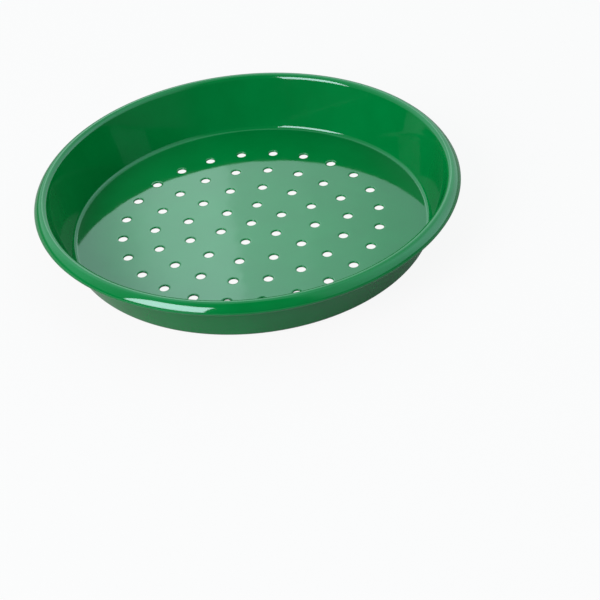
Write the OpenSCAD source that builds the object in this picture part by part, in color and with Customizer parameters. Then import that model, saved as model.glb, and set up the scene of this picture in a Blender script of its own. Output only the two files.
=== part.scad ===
// Round sand sieve, pressed from one disc of sheet steel. The flat floor is punched
// with rings of round holes, the wall flares, and its edge is rolled outwards over a round
// top, down a flatter side and under in a tight curl, so that the cut edge is out of reach
// of a child's fingers.
// The axis is Z, and the underside of the floor rests on z = 0.

/* [Pan] */
// Diameter over the rolled rim
rim_d = 200; // [190:1:240]
// Height from the resting face to the top of the rim
pan_h = 27.2; // [20:0.2:45]
// Diameter of the flat floor, within its bend
floor_d = 165.4; // [140:0.2:170]
// Thickness of the enamelled sheet
sheet_t = 0.8; // [0.5:0.1:1.2]
// Inside radius of the bend between the floor and the wall
floor_bend_r = 3.2; // [1:0.2:8]

/* [Rolled rim] */
// Radius over the round top of the rim
rim_top_r = 2.6; // [1.5:0.1:4]
// Radius of the flatter side that slopes down from the top
rim_side_r = 6.5; // [4:0.1:12]
// Radius of the tight curl under the side
rim_curl_r = 1.3; // [1.3:0.1:2.4]
// Direction that the face looks in where the top passes into the side, above level
side_from = 56; // [40:1:75]
// Direction that the face looks in where the side passes into the curl, above level
side_to = 22; // [5:1:35]
// Angle that the curl turns through, up to the cut edge
curl_turn = 150; // [60:5:200]

/* [Sieve holes] */
// Diameter of a hole below its rounded edge
hole_d = 4.4; // [3:0.2:6]
// Radius of the edge that the punch draws in round the top of a hole
hole_edge_r = 0.4; // [0.1:0.05:0.45]
// Distance from one ring of holes to the next
ring_pitch = 15.4; // [10:0.2:16]
// Number of rings round the middle hole
ring_count = 4; // [1:1:5]
// Holes that each ring has more than the one inside it
ring_step = 6; // [3:1:8]
// Direction from the middle in which every ring has a hole, from +X
first_hole_angle = 90; // [0:5:360]

/* [Hidden] */
$fn = 96;
enamel_green = "forestgreen";
arc_sag = 0.02;
cut_overrun = 1;
quarter_turn = 90;
half_turn = 180;
full_turn = 360;

// Centres of the bends in the (radius, height) half plane. The bend at the floor has its
// hollow side towards the inside of the pan. The rim's three bends run on from one another:
// its top is level with the pan's height, and its curl reaches out to the rim's diameter.
function direction(angle) = [cos(angle), sin(angle)];
top_to_side = (rim_side_r - rim_top_r) * direction(side_from);
side_to_curl = (rim_side_r - rim_curl_r) * direction(side_to);
floor_bend_at = [floor_d / 2, sheet_t + floor_bend_r];
top_at = [rim_d / 2 - rim_curl_r - side_to_curl[0] + top_to_side[0], pan_h - rim_top_r];
side_at = top_at - top_to_side;
curl_at = side_at + side_to_curl;

// The wall is straight, and crosses over from the bend at the floor to the rim's top
to_top = top_at - floor_bend_at;
wall_tilt = atan2(to_top[0], to_top[1]) - asin((floor_bend_r + rim_top_r) / norm(to_top));

// Points along an arc, close enough for its chords to stay within arc_sag of it. One that
// runs on from another arc leaves out the point they share, and starts at the next.
function arc(centre, r, from, to, start = 0) =
    let (steps = ceil(abs(to - from) / (2 * acos(1 - arc_sag / r))))
        [
            for (i = [start : steps])
                let (a = from + (to - from) * i / steps)
                    centre + r * direction(a)
        ];

function reversed(points) = [for (i = [len(points) - 1 : -1 : 0]) points[i]];

// One face of the sheet from the axis to the cut edge, at a depth under the pan's inside
// face. The straight floor and wall are what lies between one arc and the next.
function sheet_face(depth) = concat(
    [[0, sheet_t - depth]],
    arc(floor_bend_at, floor_bend_r + depth, -quarter_turn, -wall_tilt),
    arc(top_at, rim_top_r - depth, half_turn - wall_tilt, side_from),
    arc(side_at, rim_side_r - depth, side_from, side_to, 1),
    arc(curl_at, rim_curl_r - depth, side_to, side_to - curl_turn, 1)
);

// What the punch takes away: the hole and, above it, the edge that it draws in
module punched_hole() {
    hole_r = hole_d / 2;
    mouth_r = hole_r + hole_edge_r;
    rotate_extrude()
        polygon(concat(
            [[0, -cut_overrun], [hole_r, -cut_overrun]],
            arc([mouth_r, sheet_t - hole_edge_r], hole_edge_r, half_turn, quarter_turn),
            [[mouth_r, sheet_t + cut_overrun], [0, sheet_t + cut_overrun]]
        ));
}

// The middle hole and the rings of holes round it
module hole_rings() {
    punched_hole();
    for (ring = [1 : ring_count])
        for (i = [0 : ring * ring_step - 1])
            rotate(first_hole_angle + full_turn * i / (ring * ring_step))
                translate([ring * ring_pitch, 0, 0])
                    punched_hole();
}

// The whole sieve, which is one pressing
module sieve_pan() {
    color(enamel_green)
        difference() {
            rotate_extrude()
                polygon(concat(sheet_face(0), reversed(sheet_face(sheet_t))));
            hole_rings();
        }
}

sieve_pan();
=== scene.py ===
import math

import bmesh
import bpy
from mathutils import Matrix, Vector


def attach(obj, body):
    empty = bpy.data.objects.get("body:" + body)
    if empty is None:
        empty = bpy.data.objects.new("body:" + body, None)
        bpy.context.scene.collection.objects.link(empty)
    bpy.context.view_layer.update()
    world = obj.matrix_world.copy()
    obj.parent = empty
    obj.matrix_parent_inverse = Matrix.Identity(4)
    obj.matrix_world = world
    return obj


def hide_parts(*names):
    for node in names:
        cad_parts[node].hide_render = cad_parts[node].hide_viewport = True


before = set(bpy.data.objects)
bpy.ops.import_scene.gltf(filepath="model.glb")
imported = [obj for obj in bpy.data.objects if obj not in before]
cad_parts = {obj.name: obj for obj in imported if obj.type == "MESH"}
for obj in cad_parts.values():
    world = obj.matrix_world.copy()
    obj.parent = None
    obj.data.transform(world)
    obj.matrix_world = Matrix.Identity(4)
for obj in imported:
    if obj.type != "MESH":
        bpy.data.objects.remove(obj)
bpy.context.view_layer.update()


# Camera. The sieve is seen from in front and a little to the right, from about 35 degrees
# above the table and 0.8 m away.
camera_data = bpy.data.cameras.new("camera")
camera_data.lens = 99.05
camera_data.sensor_width = 36
camera_data.clip_start = 0.01
camera_data.clip_end = 20
camera = bpy.data.objects.new("camera", camera_data)
camera.location = (0.15796, -0.63185, 0.44666)
camera.rotation_euler = (0.91865, 0.07675, 0.15646)
bpy.context.scene.collection.objects.link(camera)
bpy.context.scene.camera = camera


# The sieve pan. One disc of sheet steel, punched with rings of round holes, pressed into a
# flat floor and a flaring wall, and rolled out and under at the rim. It is modelled as a lathe
# turns: the section of the sheet is drawn bend by bend, then spun about the axis.
MM = 0.001
sheet = 0.8 * MM
floor_r = 83.34 * MM
bend_r = 2.3 * MM
rim_r = 100 * MM
pan_h = 27.2 * MM

# The rim's three bends: a round top, a flatter side, and a tight curl up to the cut edge. The
# angles tell where the face looks as it passes from one to the next, above level.
top_r = 2.6 * MM
side_r = 6.5 * MM
curl_r = 1.3 * MM
side_from = math.radians(56)
side_to = math.radians(22)
curl_turn = math.radians(150)

# Flat strips beside the bends, which keep their shading off the floor and the wall
floor_land = 0.5 * MM
wall_land = 0.4 * MM

# Steps that each bend is drawn in, on the face that shows and on the face within the roll
bend_steps = 14
top_steps, side_steps, curl_steps = 22, 12, 16
inner_top_steps, inner_side_steps, inner_curl_steps = 16, 8, 10
cut_edge_steps = 6
lathe_steps = 240
weld = 0.01 * MM


def looking(angle):
    """Direction in the section's half plane, at an angle above level."""
    return Vector((math.cos(angle), 0, math.sin(angle)))


# Centres of the bends. The rim's bends run on from one another, and the wall is the straight
# line that crosses over from the floor's bend to the rim's top.
top_to_side = (side_r - top_r) * looking(side_from)
side_to_curl = (side_r - curl_r) * looking(side_to)
bend_at = Vector((floor_r, 0, sheet + bend_r))
top_at = Vector((rim_r - curl_r - side_to_curl.x + top_to_side.x, 0, pan_h - top_r))
side_at = top_at - top_to_side
curl_at = side_at + side_to_curl
to_top = top_at - bend_at
wall_tilt = math.atan2(to_top.x, to_top.z) - math.asin((bend_r + top_r) / to_top.length)
bend_turn = math.pi / 2 - wall_tilt
top_turn = math.pi - wall_tilt - side_from
side_turn = side_from - side_to
along_wall = Vector((math.sin(wall_tilt), 0, math.cos(wall_tilt)))
square_to_wall = looking(-wall_tilt)
through_wall = sheet * square_to_wall
wall_foot = bend_at + bend_r * square_to_wall
wall_head = top_at - top_r * square_to_wall
cut_edge_at = curl_at + (curl_r - sheet / 2) * looking(side_to - curl_turn)


def start_chain(name, at):
    """A new mesh of one vertex, open in edit mode, to draw a section from."""
    bpy.ops.object.select_all(action="DESELECT")
    bpy.ops.mesh.primitive_plane_add(size=sheet, location=at)
    piece = bpy.context.object
    piece.name = name
    bpy.ops.object.transform_apply(location=True, rotation=True, scale=True)
    bpy.ops.object.mode_set(mode="EDIT")
    bpy.ops.mesh.select_mode(type="VERT")
    bpy.ops.mesh.select_all(action="SELECT")
    bpy.ops.mesh.merge(type="CENTER")
    return piece


def chain_end(piece):
    """Place of the vertex that the chain has reached, which is the selected one."""
    mesh = bmesh.from_edit_mesh(piece.data)
    return [v.co.copy() for v in mesh.verts if v.select][0]


def run_to(piece, point):
    """Draws the section on in a straight line."""
    step = Vector(point) - chain_end(piece)
    bpy.ops.mesh.extrude_region_move(TRANSFORM_OT_translate={"value": step})


def bend_round(centre, turn, steps):
    """Draws the section on round a bend. A positive turn goes from +X towards +Z."""
    bpy.ops.mesh.spin(steps=steps, angle=turn, center=centre, axis=(0, 1, 0))


def turn_on_lathe(steps):
    """Spins the drawn section about the axis and welds the seam where the turn closes."""
    bpy.ops.mesh.select_all(action="SELECT")
    bpy.ops.mesh.spin(steps=steps, angle=2 * math.pi, center=(0, 0, 0), axis=(0, 0, 1))
    bpy.ops.mesh.select_all(action="SELECT")
    bpy.ops.mesh.remove_doubles(threshold=weld)
    bpy.ops.object.mode_set(mode="OBJECT")


# From the floor up the inside of the pan, over the rim to the cut edge, and back underneath
pan = start_chain("sieve_pan_body", (floor_r - floor_land, 0, sheet))
run_to(pan, (floor_r, 0, sheet))
bend_round(bend_at, bend_turn, bend_steps)
run_to(pan, wall_foot + wall_land * along_wall)
run_to(pan, wall_head - wall_land * along_wall)
run_to(pan, wall_head)
bend_round(top_at, -top_turn, top_steps)
bend_round(side_at, -side_turn, side_steps)
bend_round(curl_at, -curl_turn, curl_steps)
bend_round(cut_edge_at, -math.pi, cut_edge_steps)
bend_round(curl_at, curl_turn, inner_curl_steps)
bend_round(side_at, side_turn, inner_side_steps)
bend_round(top_at, top_turn, inner_top_steps)
run_to(pan, wall_head - wall_land * along_wall + through_wall)
run_to(pan, wall_foot + wall_land * along_wall + through_wall)
run_to(pan, wall_foot + through_wall)
bend_round(bend_at, -bend_turn, bend_steps)
run_to(pan, (floor_r - floor_land, 0, 0))
turn_on_lathe(lathe_steps)

# One hole, turned the same way. The punch draws the top edge in, and the lower edge is
# only eased by the enamel.
hole_r = 2.2 * MM
hole_edge_r = 0.4 * MM
lower_edge_r = 0.1 * MM
hole_land = 0.5 * MM
hole_edge_steps, lower_edge_steps, hole_steps = 4, 2, 36
mouth_r = hole_r + hole_edge_r
hole = start_chain("hole", (mouth_r + hole_land, 0, sheet))
run_to(hole, (mouth_r, 0, sheet))
bend_round((mouth_r, 0, sheet - hole_edge_r), math.pi / 2, hole_edge_steps)
run_to(hole, (hole_r, 0, lower_edge_r))
bend_round((hole_r + lower_edge_r, 0, lower_edge_r), math.pi / 2, lower_edge_steps)
run_to(hole, (mouth_r + hole_land, 0, 0))
turn_on_lathe(hole_steps)

# The hole is copied to its places: six more in each ring than in the ring inside it. Each
# ring has its first hole towards +Y.
ring_pitch = 15.4 * MM
ring_count = 4
ring_step = 6
first_hole_angle = math.pi / 2
holes = [hole]
for ring in range(1, ring_count + 1):
    ring_r = ring * ring_pitch
    for i in range(ring * ring_step):
        angle = first_hole_angle + 2 * math.pi * i / (ring * ring_step)
        bpy.ops.object.select_all(action="DESELECT")
        hole.select_set(True)
        bpy.context.view_layer.objects.active = hole
        bpy.ops.object.duplicate(linked=False)
        next_hole = bpy.context.object
        next_hole.location = (ring_r * math.cos(angle), ring_r * math.sin(angle), 0)
        holes.append(next_hole)
bpy.ops.object.select_all(action="DESELECT")
for one in holes + [pan]:
    one.select_set(True)
bpy.context.view_layer.objects.active = pan
bpy.ops.object.transform_apply(location=True, rotation=True, scale=True)
bpy.ops.object.join()

# The floor is filled in between its bend and the holes, first the inside face and then the
# underside
bpy.ops.object.mode_set(mode="EDIT")
bpy.ops.mesh.select_mode(type="EDGE")
for face_z in (sheet, 0):
    bpy.ops.mesh.select_all(action="DESELECT")
    mesh = bmesh.from_edit_mesh(pan.data)
    for edge in mesh.edges:
        if edge.is_boundary and all(abs(v.co.z - face_z) < weld for v in edge.verts):
            edge.select = True
    mesh.select_flush_mode()
    bmesh.update_edit_mesh(pan.data)
    bpy.ops.mesh.fill(use_beauty=True)
bpy.ops.mesh.select_mode(type="VERT")
bpy.ops.mesh.select_all(action="SELECT")
bpy.ops.mesh.remove_doubles(threshold=weld)
bpy.ops.mesh.normals_make_consistent(inside=False)
bpy.ops.object.mode_set(mode="OBJECT")
sharp_from = math.radians(40)
bpy.ops.object.shade_smooth_by_angle(angle=sharp_from)

# Glossy green enamel, fired on the steel. It flows before it sets, which leaves it faintly
# wavy, with its green a little uneven and a few places less shiny.
enamel = bpy.data.materials.new("green_enamel")
enamel.use_nodes = True
nodes, links = enamel.node_tree.nodes, enamel.node_tree.links
coat = nodes["Principled BSDF"]
coat.inputs["IOR"].default_value = 1.6

# The real green is deeper than a screen can show. The tint takes red out of what the coat
# mirrors, so that a reflection doesn't grey the green.
coat.inputs["Specular Tint"].default_value = (0.6, 1.0, 0.97, 1)
place = nodes.new("ShaderNodeTexCoord")
mottle = nodes.new("ShaderNodeTexNoise")
mottle.inputs["Scale"].default_value = 45
mottle.inputs["Detail"].default_value = 3
green = nodes.new("ShaderNodeValToRGB")
green.color_ramp.elements[0].position = 0.3
green.color_ramp.elements[0].color = (0.0, 0.143, 0.026, 1)
green.color_ramp.elements[1].position = 0.7
green.color_ramp.elements[1].color = (0.0, 0.161, 0.031, 1)
dulling = nodes.new("ShaderNodeTexNoise")
dulling.inputs["Scale"].default_value = 120
dulling.inputs["Detail"].default_value = 4
gloss = nodes.new("ShaderNodeMapRange")
gloss.inputs["From Min"].default_value = 0.35
gloss.inputs["From Max"].default_value = 0.75
gloss.inputs["To Min"].default_value = 0.04
gloss.inputs["To Max"].default_value = 0.08
peel = nodes.new("ShaderNodeTexNoise")
peel.inputs["Scale"].default_value = 45
peel.inputs["Detail"].default_value = 2
waves = nodes.new("ShaderNodeBump")
waves.inputs["Strength"].default_value = 0.6
waves.inputs["Distance"].default_value = 0.1 * MM
for texture in (mottle, dulling, peel):
    links.new(place.outputs["Object"], texture.inputs["Vector"])
links.new(mottle.outputs["Fac"], green.inputs["Fac"])
links.new(green.outputs["Color"], coat.inputs["Base Color"])
links.new(dulling.outputs["Fac"], gloss.inputs["Value"])
links.new(gloss.outputs["Result"], coat.inputs["Roughness"])
links.new(peel.outputs["Fac"], waves.inputs["Height"])
links.new(waves.outputs["Normal"], coat.inputs["Normal"])
pan.data.materials.clear()
pan.data.materials.append(enamel)

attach(pan, "root")
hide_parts("sieve_pan")


# The table, a plain top painted pale grey. The camera sees it mostly as even white, with some
# of the paint left in, so that the sieve keeps a faint shadow and the holes show white. Gloss
# sees a little of that white too.
table_side = 12
table_gap = 0.05 * MM
bpy.ops.object.select_all(action="DESELECT")
bpy.ops.mesh.primitive_plane_add(size=table_side, location=(0, 0, 0))
table = bpy.context.object
table.name = "table"
table.location.z = -table_gap
table_top = bpy.data.materials.new("pale_table")
table_top.use_nodes = True
nodes, links = table_top.node_tree.nodes, table_top.node_tree.links
paint = nodes["Principled BSDF"]
paint.inputs["Base Color"].default_value = (0.42, 0.47, 0.47, 1)
paint.inputs["Roughness"].default_value = 0.6
paint.inputs["Specular IOR Level"].default_value = 0.3
glow = nodes.new("ShaderNodeEmission")
glow.inputs["Color"].default_value = (1, 1, 1, 1)
glow.inputs["Strength"].default_value = 1


def seen_by_camera(nodes, links):
    """1 for what the camera sees, straight or through glass, and 0 for all other light."""
    path = nodes.new("ShaderNodeLightPath")
    seen = nodes.new("ShaderNodeMath")
    seen.operation = "MAXIMUM"
    links.new(path.outputs["Is Camera Ray"], seen.inputs[0])
    links.new(path.outputs["Is Transmission Ray"], seen.inputs[1])
    return seen.outputs["Value"]


share = nodes.new("ShaderNodeMath")
share.operation = "MULTIPLY"
share.inputs[1].default_value = 0.91
path = nodes.new("ShaderNodeLightPath")
share_in_gloss = nodes.new("ShaderNodeMath")
share_in_gloss.operation = "MULTIPLY_ADD"
share_in_gloss.inputs[1].default_value = 0.05
blend = nodes.new("ShaderNodeMixShader")
links.new(seen_by_camera(nodes, links), share.inputs[0])
links.new(path.outputs["Is Glossy Ray"], share_in_gloss.inputs[0])
links.new(share.outputs["Value"], share_in_gloss.inputs[2])
links.new(share_in_gloss.outputs["Value"], blend.inputs["Fac"])
links.new(paint.outputs["BSDF"], blend.inputs[1])
links.new(glow.outputs["Emission"], blend.inputs[2])
links.new(blend.outputs["Shader"], nodes["Material Output"].inputs["Surface"])
table.data.materials.append(table_top)


# Studio light. A tall window stands in front and to the left, and a soft panel behind. The
# window is slightly pink and the room slightly green-blue, which together with the coat's tint
# holds the gloss to the deep green.
def upright_box(name, azimuth, distance, low, high, width, radiance, colour):
    """A soft box that stands upright, turned to the sieve. Its power follows from how bright
    its face is."""
    lamp_data = bpy.data.lights.new(name, "AREA")
    lamp_data.shape = "RECTANGLE"
    lamp_data.size = width
    lamp_data.size_y = high - low
    lamp_data.energy = radiance * math.pi * width * (high - low)
    lamp_data.color = colour
    lamp = bpy.data.objects.new(name, lamp_data)
    away = Vector((math.cos(math.radians(azimuth)), math.sin(math.radians(azimuth)), 0))
    lamp.location = away * distance + Vector((0, 0, (low + high) / 2))
    lamp.rotation_mode = "QUATERNION"
    lamp.rotation_quaternion = away.to_track_quat("Z", "Y")
    lamp.visible_camera = False
    bpy.context.scene.collection.objects.link(lamp)
    return lamp


def ramp_of(nodes, stops):
    """A grey ramp through (place, strength) stops."""
    ramp = nodes.new("ShaderNodeValToRGB")
    ramp.color_ramp.interpolation = "EASE"
    elements = ramp.color_ramp.elements
    while len(elements) < len(stops):
        elements.new(0.5)
    for element, (at, strength) in zip(elements, stops):
        element.position = at
        element.color = (strength, strength, strength, 1)
    return ramp


def faint_echo(nodes, links, kept):
    """1 for light that reaches the eye over one surface, and down to what is kept of it for
    light that comes over two. Enamel polarises what it mirrors, which the renderer leaves out,
    and the mirror image of a mirror image is fainter for it. How much is kept is given."""
    path = nodes.new("ShaderNodeLightPath")
    echo = nodes.new("ShaderNodeMapRange")
    echo.inputs["From Min"].default_value = 2
    echo.inputs["From Max"].default_value = 3
    echo.inputs["To Min"].default_value = 1
    echo.inputs["To Max"].default_value = kept
    links.new(path.outputs["Ray Depth"], echo.inputs["Value"])
    return echo.outputs["Result"]


def soften(lamp, across, along, kept):
    """Fades a soft box by two ramps of (place, strength), across its width from the right as
    seen from the sieve and up its height, and weakens its second mirror images to what is
    kept."""
    lamp.data.use_nodes = True
    nodes, links = lamp.data.node_tree.nodes, lamp.data.node_tree.links
    spot = nodes.new("ShaderNodeNewGeometry")
    sides = nodes.new("ShaderNodeSeparateXYZ")
    links.new(spot.outputs["Parametric"], sides.inputs["Vector"])
    strength = faint_echo(nodes, links, kept)
    for side, stops in (("X", across), ("Y", along)):
        ramp = ramp_of(nodes, stops)
        product = nodes.new("ShaderNodeMath")
        product.operation = "MULTIPLY"
        links.new(sides.outputs[side], ramp.inputs["Fac"])
        links.new(ramp.outputs["Color"], product.inputs[0])
        links.new(strength, product.inputs[1])
        strength = product.outputs["Value"]
    links.new(strength, nodes["Emission"].inputs["Strength"])


window = upright_box("window", azimuth=-123, distance=1.75, low=0.37, high=2.09, width=1.27,
                     radiance=12.5, colour=(1.0, 0.78, 0.86))
soften(window,
       across=((0.0, 0.9), (0.3, 1.0), (1.0, 1.0)),
       along=((0.0, 0.9), (0.2, 1.0), (0.8, 1.0), (1.0, 0.6)),
       kept=0.25)

# The panel has a bright middle with a clear edge on its right, and fades out to both sides
panel = upright_box("panel", azimuth=104, distance=2.0, low=0.75, high=2.25, width=1.0,
                    radiance=2.15, colour=(1.0, 1.0, 1.0))
soften(panel,
       across=((0.0, 0.0), (0.2, 0.12), (0.36, 0.33), (0.41, 0.45), (0.53, 0.57),
               (0.54, 0.93), (0.58, 1.0), (0.65, 0.94), (0.8, 0.42), (1.0, 0.0)),
       along=((0.0, 0.0), (0.25, 0.7), (0.6, 1.0), (1.0, 0.0)),
       kept=0.1)

# The room: how bright it is at each bearing, in degrees from +X. It is pale on the right and
# behind, and dark where the camera stands.
round_room = (
    (-180, 0.75), (-160, 0.50), (-150, 0.35), (-95, 0.05), (-55, 0.10), (-35, 0.80),
    (-5, 1.30), (25, 2.00), (60, 1.40), (92, 1.30), (115, 1.25), (145, 1.40), (180, 0.75))

# What is left of that going up, from the horizon at 0 to straight overhead at 1. Some bearings
# are lifted along this ramp, so that the room is less dark there down at the table.
upwards = ((0.0, 0.10), (0.12, 0.15), (0.25, 1.0), (0.75, 1.0), (0.9, 0.75), (1.0, 0.65))
low_walls = ((-180, 0.0), (0, 0.0), (35, 0.2), (75, 0.2), (110, 0.0), (180, 0.0))


def by_bearing(stops):
    """Stops of (bearing, strength) as places on the compass, which runs from 0 to 1."""
    return [((bearing + 180) / 360, strength) for bearing, strength in stops]


sky = bpy.data.worlds.new("studio")
sky.use_nodes = True
nodes, links = sky.node_tree.nodes, sky.node_tree.links
light = nodes["Background"]
light.inputs["Color"].default_value = (0.8, 1.0, 0.98, 1)
direction = nodes.new("ShaderNodeTexCoord")
compass = nodes.new("ShaderNodeTexGradient")
compass.gradient_type = "RADIAL"
height = nodes.new("ShaderNodeSeparateXYZ")
walls = ramp_of(nodes, by_bearing(round_room))
low = ramp_of(nodes, by_bearing(low_walls))
ceiling = ramp_of(nodes, upwards)
lifted = nodes.new("ShaderNodeMath")
lifted.operation = "ADD"
room = nodes.new("ShaderNodeMath")
room.operation = "MULTIPLY"
room_and_echo = nodes.new("ShaderNodeMath")
room_and_echo.operation = "MULTIPLY"
links.new(direction.outputs["Generated"], compass.inputs["Vector"])
links.new(direction.outputs["Generated"], height.inputs["Vector"])
links.new(compass.outputs["Fac"], walls.inputs["Fac"])
links.new(compass.outputs["Fac"], low.inputs["Fac"])
links.new(height.outputs["Z"], lifted.inputs[0])
links.new(low.outputs["Color"], lifted.inputs[1])
links.new(lifted.outputs["Value"], ceiling.inputs["Fac"])
links.new(walls.outputs["Color"], room.inputs[0])
links.new(ceiling.outputs["Color"], room.inputs[1])
links.new(room.outputs["Value"], room_and_echo.inputs[0])
links.new(faint_echo(nodes, links, kept=0.35), room_and_echo.inputs[1])
links.new(room_and_echo.outputs["Value"], light.inputs["Strength"])

# Beyond the table the camera sees plain white
backdrop = nodes.new("ShaderNodeBackground")
backdrop.inputs["Color"].default_value = (1, 1, 1, 1)
backdrop.inputs["Strength"].default_value = 1
lit_or_seen = nodes.new("ShaderNodeMixShader")
links.new(seen_by_camera(nodes, links), lit_or_seen.inputs["Fac"])
links.new(light.outputs["Background"], lit_or_seen.inputs[1])
links.new(backdrop.outputs["Background"], lit_or_seen.inputs[2])
links.new(lit_or_seen.outputs["Shader"], nodes["World Output"].inputs["Surface"])
bpy.context.scene.world = sky

bpy.context.scene.view_settings.view_transform = "Standard"
